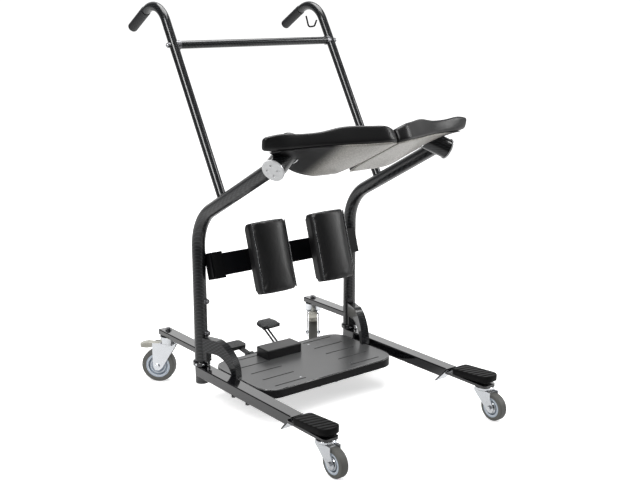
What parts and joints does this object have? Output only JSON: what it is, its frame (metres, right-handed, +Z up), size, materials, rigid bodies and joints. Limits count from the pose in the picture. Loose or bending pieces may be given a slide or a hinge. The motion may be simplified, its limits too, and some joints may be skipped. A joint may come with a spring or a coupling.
{
  "type": "patient lift hoist",
  "caption": "Wheeled stand-assist lift with masts, swing-away seat paddles, knee pads, push handles, braked rear casters and front legs spread by a foot pedal.",
  "frame": {"origin": "on the floor under the middle of the bounding box", "axes": "+Z up; the patient enters from -Y and the push handles point to +Y; +X is the patient aid's right seen from behind"},
  "size_m": [0.6608, 0.981, 1.1035],
  "materials": {
    "frame_black": "gloss black coat",
    "bar_black": "satin black coat",
    "bracket_black": "moulded",
    "grip_rubber": "ribbed",
    "zinc": "bright zinc",
    "hub_white": "gloss",
    "deck_rim": "satin",
    "deck_grey": "fine textured",
    "housing_grey": "satin",
    "pad_vinyl": "smooth vinyl",
    "shell_board": "fine speckled board, black where it curves to the hub",
    "bolt_dark": "dark zinc",
    "collar_grey": "gloss",
    "toe_rubber": "ribbed",
    "pedal_grey": "pebbled",
    "drive_steel": "dark zinc",
    "wheel_grey": "moulded",
    "tyre_grey": "non-marking",
    "brake_ivory": "moulded"
  },
  "bodies": {
    "frame": {"mast_lower_left": "frame_black", "mast_lower_right": "frame_black", "mast_upper_left": "frame_black", "mast_upper_right": "frame_black", "handle_left": "frame_black", "handle_right": "frame_black", "brace_left": "frame_black", "brace_right": "frame_black", "rear_leg_left": "frame_black", "rear_leg_right": "frame_black", "knee_pad_left": "pad_vinyl", "knee_pad_right": "pad_vinyl", "handle_crossbar": "frame_black", "foot_strap": "frame_black", "knee_bar": "bar_black", "knee_brackets": "bracket_black", "mast_rings": "frame_black", "grips": "grip_rubber", "crossbar_fittings": "bolt_dark", "frame_bolts": "bolt_dark", "strap_hooks": "bar_black", "hub_caps": "hub_white", "platform_frame": "deck_rim", "platform_deck": "deck_grey", "deck_screws": "zinc", "pedal_housing": "housing_grey", "rear_raceways": "zinc"},
    "front_leg_assembly_left": {"front_leg_left": "frame_black", "toe_pad_left": "toe_rubber"},
    "front_caster_left": {"front_fork_left": "zinc"},
    "front_wheel_left": {"front_hub_left": "zinc", "front_tyre_left": "tyre_grey"},
    "rear_caster_left": {"rear_fork_left": "zinc"},
    "rear_wheel_left": {"rear_hub_left": "wheel_grey", "rear_tyre_left": "tyre_grey"},
    "rear_brake_left": {"brake_pedal_left": "brake_ivory"},
    "paddle_left": {"seat_pad_left": "pad_vinyl", "seat_shell_left": "shell_board", "seat_spindle_left": "collar_grey"},
    "link_left": {"tie_rod_left": "drive_steel"},
    "front_leg_assembly_right": {"front_leg_right": "frame_black", "toe_pad_right": "toe_rubber"},
    "front_caster_right": {"front_fork_right": "zinc"},
    "front_wheel_right": {"front_hub_right": "zinc", "front_tyre_right": "tyre_grey"},
    "rear_caster_right": {"rear_fork_right": "zinc"},
    "rear_wheel_right": {"rear_hub_right": "wheel_grey", "rear_tyre_right": "tyre_grey"},
    "rear_brake_right": {"brake_pedal_right": "brake_ivory"},
    "paddle_right": {"seat_pad_right": "pad_vinyl", "seat_shell_right": "shell_board", "seat_spindle_right": "collar_grey"},
    "link_right": {"tie_rod_right": "drive_steel"},
    "pedal_lever_high": {"pedal_high": "pedal_grey"},
    "pedal_lever_low": {"pedal_low": "pedal_grey"},
    "slide_bar": {"drive_bar": "drive_steel"}
  },
  "joints": [
    {"name": "seat_swing_left", "type": "hinge", "parent": "frame", "child": "paddle_left", "pos_m": [-0.27, -0.223, 0.724], "axis": [-0.811, -0.3905, -0.4356], "range_deg": [0, 75]},
    {"name": "front_swivel_left", "type": "hinge", "parent": "front_leg_assembly_left", "child": "front_caster_left", "pos_m": [-0.275, -0.417, 0.08], "axis": [0, 0, 1], "continuous": true},
    {"name": "front_roll_left", "type": "hinge", "parent": "front_caster_left", "child": "front_wheel_left", "pos_m": [-0.275, -0.453, 0.0375], "axis": [1, 0, 0], "continuous": true},
    {"name": "rear_swivel_left", "type": "hinge", "parent": "frame", "child": "rear_caster_left", "pos_m": [-0.27, 0.34, 0.125], "axis": [0, 0, 1], "continuous": true},
    {"name": "rear_roll_left", "type": "hinge", "parent": "rear_caster_left", "child": "rear_wheel_left", "pos_m": [-0.29215, 0.3631, 0.05], "axis": [-0.7218, -0.6921, 0], "continuous": true},
    {"name": "brake_press_left", "type": "hinge", "parent": "rear_caster_left", "child": "rear_brake_left", "pos_m": [-0.29284, 0.36382, 0.114], "axis": [-0.7218, -0.6921, 0], "range_deg": [0, 12]},
    {"name": "seat_swing_right", "type": "hinge", "parent": "frame", "child": "paddle_right", "pos_m": [0.27, -0.223, 0.724], "axis": [-0.811, 0.3905, 0.4356], "range_deg": [0, 75]},
    {"name": "front_swivel_right", "type": "hinge", "parent": "front_leg_assembly_right", "child": "front_caster_right", "pos_m": [0.275, -0.417, 0.08], "axis": [0, 0, 1], "continuous": true},
    {"name": "front_roll_right", "type": "hinge", "parent": "front_caster_right", "child": "front_wheel_right", "pos_m": [0.275, -0.453, 0.0375], "axis": [1, 0, 0], "continuous": true},
    {"name": "rear_swivel_right", "type": "hinge", "parent": "frame", "child": "rear_caster_right", "pos_m": [0.27, 0.34, 0.125], "axis": [0, 0, 1], "continuous": true},
    {"name": "rear_roll_right", "type": "hinge", "parent": "rear_caster_right", "child": "rear_wheel_right", "pos_m": [0.2503, 0.31478, 0.05], "axis": [0.788, -0.6157, 0], "continuous": true},
    {"name": "brake_press_right", "type": "hinge", "parent": "rear_caster_right", "child": "rear_brake_right", "pos_m": [0.24968, 0.314, 0.114], "axis": [0.788, -0.6157, 0], "range_deg": [0, 12]},
    {"name": "leg_spread_right", "type": "hinge", "parent": "frame", "child": "front_leg_assembly_right", "pos_m": [0.27, 0.155, 0.074], "axis": [0, 0, 1], "range_deg": [0, 12]},
    {"name": "leg_spread_left", "type": "hinge", "parent": "frame", "child": "front_leg_assembly_left", "pos_m": [-0.27, 0.155, 0.074], "axis": [0, 0, 1], "range_deg": [-12.01, 0.01]},
    {"name": "drive_slide", "type": "slide", "parent": "frame", "child": "slide_bar", "axis": [0, 1, 0], "range_m": [-0.00005, 0.01173]},
    {"name": "link_turn_right", "type": "hinge", "parent": "slide_bar", "child": "link_right", "pos_m": [0.03, -0.073, 0.056], "axis": [0, 0, 1], "range_deg": [-4.78, 0.01]},
    {"name": "link_turn_left", "type": "hinge", "parent": "slide_bar", "child": "link_left", "pos_m": [-0.03, -0.073, 0.056], "axis": [0, 0, 1], "range_deg": [-0.01, 4.78]},
    {"name": "pedal_high_press", "type": "hinge", "parent": "frame", "child": "pedal_lever_high", "pos_m": [0.02, 0.181, 0.084], "axis": [1, 0, 0], "range_deg": [-29, 0.01]},
    {"name": "pedal_low_rise", "type": "hinge", "parent": "frame", "child": "pedal_lever_low", "pos_m": [-0.086, 0.181, 0.084], "axis": [1, 0, 0], "range_deg": [-0.01, 29]}
  ],
  "couplings": [
    {"joint": "leg_spread_left", "follows": "leg_spread_right", "ratio": -1},
    {"joint": "drive_slide", "follows": "leg_spread_right", "m_per_rad": 0.055544},
    {"joint": "link_turn_right", "follows": "leg_spread_right", "ratio": -0.39684},
    {"joint": "link_turn_left", "follows": "leg_spread_right", "ratio": 0.39684},
    {"joint": "pedal_high_press", "follows": "leg_spread_right", "ratio": -2.4154},
    {"joint": "pedal_low_rise", "follows": "leg_spread_right", "ratio": 2.4154}
  ]
}
